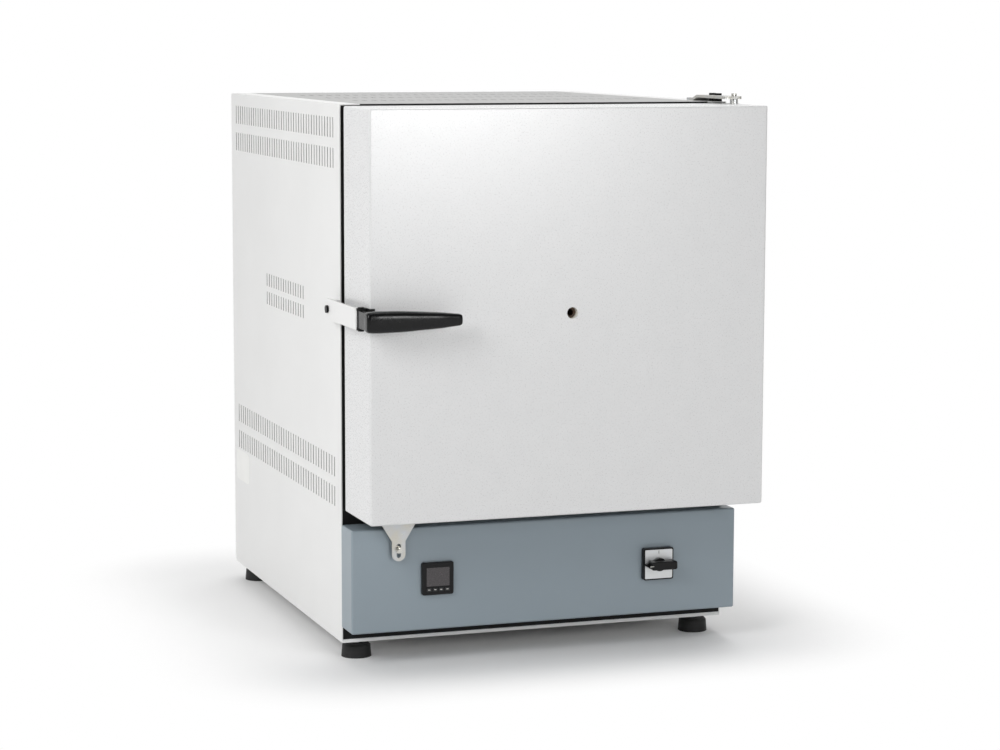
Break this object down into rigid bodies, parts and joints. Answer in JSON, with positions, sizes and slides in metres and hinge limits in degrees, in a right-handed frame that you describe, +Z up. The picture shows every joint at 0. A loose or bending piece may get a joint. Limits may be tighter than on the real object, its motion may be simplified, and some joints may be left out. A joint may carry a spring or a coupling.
{
  "type": "muffle furnace",
  "caption": "Bench muffle furnace: vented steel casing, fibre-lined electric chamber, thick side-hinged door with a pull latch and peephole, control box below.",
  "frame": {"origin": "centre of the bounding box's underside, at the level of the feet", "axes": "+Z up, +Y towards the back, +X to the right as seen from the front"},
  "size_m": [0.6194, 0.864, 0.823],
  "materials": {
    "casing_paint": "satin",
    "cover_paint": "satin",
    "panel_paint": "satin",
    "dark_paint": "matte",
    "zinc_steel": "satin",
    "bright_steel": "polished",
    "dark_steel": "matte",
    "fibre_board": "matte",
    "fibre_rope": "matte",
    "fired_ceramic": "matte",
    "heating_alloy": "matte",
    "black_plastic": "matte",
    "grip_plastic": "gloss",
    "key_plastic": "matte",
    "window_plastic": "gloss",
    "white_plastic": "matte",
    "sink_aluminium": "satin",
    "foot_rubber": "matte"
  },
  "bodies": {
    "cabinet": {"base_tray": "casing_paint", "left_side_panel": "casing_paint", "right_side_panel": "casing_paint", "top_cover": "cover_paint", "rear_panel": "casing_paint", "front_frame": "dark_paint", "divider_plate": "zinc_steel", "inner_casing": "zinc_steel", "backup_blanket": "fibre_board", "backup_rear": "fibre_board", "chamber_floor": "fibre_board", "chamber_roof": "fibre_board", "chamber_left": "fibre_board", "chamber_right": "fibre_board", "chamber_back": "fibre_board", "heater_left": "heating_alloy", "heater_right": "heating_alloy", "hearth_plate": "fired_ceramic", "thermocouple": "fired_ceramic", "exhaust_tube": "fired_ceramic", "exhaust_spigot": "zinc_steel", "feet_pads": "foot_rubber", "feet_studs": "zinc_steel", "top_hinge_bracket": "zinc_steel", "bottom_hinge_bracket": "zinc_steel", "hinge_pins": "bright_steel", "hinge_screws": "dark_steel", "keeper_strip": "zinc_steel", "keeper_spacer": "zinc_steel", "keeper_screw": "dark_steel", "control_cover": "panel_paint", "controller_case": "black_plastic", "controller_window": "window_plastic", "switch_base": "black_plastic", "switch_plate": "zinc_steel", "switch_body": "black_plastic", "limit_switch": "black_plastic", "relay_heatsink": "sink_aluminium", "solid_state_relay": "black_plastic", "terminal_block": "white_plastic", "cable_gland": "black_plastic"},
    "door": {"door_shell": "casing_paint", "door_back_plate": "zinc_steel", "door_insulation": "fibre_board", "door_plug": "fibre_board", "door_seal": "fibre_rope", "peep_tube": "dark_steel", "door_hinge_blocks": "zinc_steel", "limit_tongue": "zinc_steel", "tongue_screws": "bright_steel", "latch_bracket": "zinc_steel", "latch_pin": "bright_steel"},
    "lever": {"latch_lever": "dark_paint", "latch_grip": "grip_plastic"},
    "knob": {"switch_knob": "black_plastic"},
    "plunger": {"limit_plunger": "bright_steel"},
    "key_1": {"controller_key_1": "key_plastic"},
    "key_2": {"controller_key_2": "key_plastic"},
    "key_3": {"controller_key_3": "key_plastic"},
    "key_4": {"controller_key_4": "key_plastic"}
  },
  "joints": [
    {"name": "door_hinge", "type": "hinge", "parent": "cabinet", "child": "door", "pos_m": [0.29975, -0.29, 0.517], "axis": [0, 0, 1], "range_deg": [0, 115]},
    {"name": "latch_pivot", "type": "hinge", "parent": "door", "child": "lever", "pos_m": [-0.29925, -0.376, 0.517], "axis": [0, 0, -1], "range_deg": [-6, 5]},
    {"name": "switch_turn", "type": "hinge", "parent": "cabinet", "child": "knob", "pos_m": [0.18275, -0.31, 0.1265], "axis": [0, 1, 0], "range_deg": [0, 90]},
    {"name": "key_1_press", "type": "slide", "parent": "cabinet", "child": "key_1", "axis": [0, 1, 0], "range_m": [0, 0.0006], "stiffness_N_per_m": 500},
    {"name": "key_2_press", "type": "slide", "parent": "cabinet", "child": "key_2", "axis": [0, 1, 0], "range_m": [0, 0.0006], "stiffness_N_per_m": 500},
    {"name": "key_3_press", "type": "slide", "parent": "cabinet", "child": "key_3", "axis": [0, 1, 0], "range_m": [0, 0.0006], "stiffness_N_per_m": 500},
    {"name": "key_4_press", "type": "slide", "parent": "cabinet", "child": "key_4", "axis": [0, 1, 0], "range_m": [0, 0.0006], "stiffness_N_per_m": 500},
    {"name": "door_switch_press", "type": "slide", "parent": "cabinet", "child": "plunger", "axis": [0, 1, 0], "range_m": [0, 0.003], "stiffness_N_per_m": 300}
  ]
}
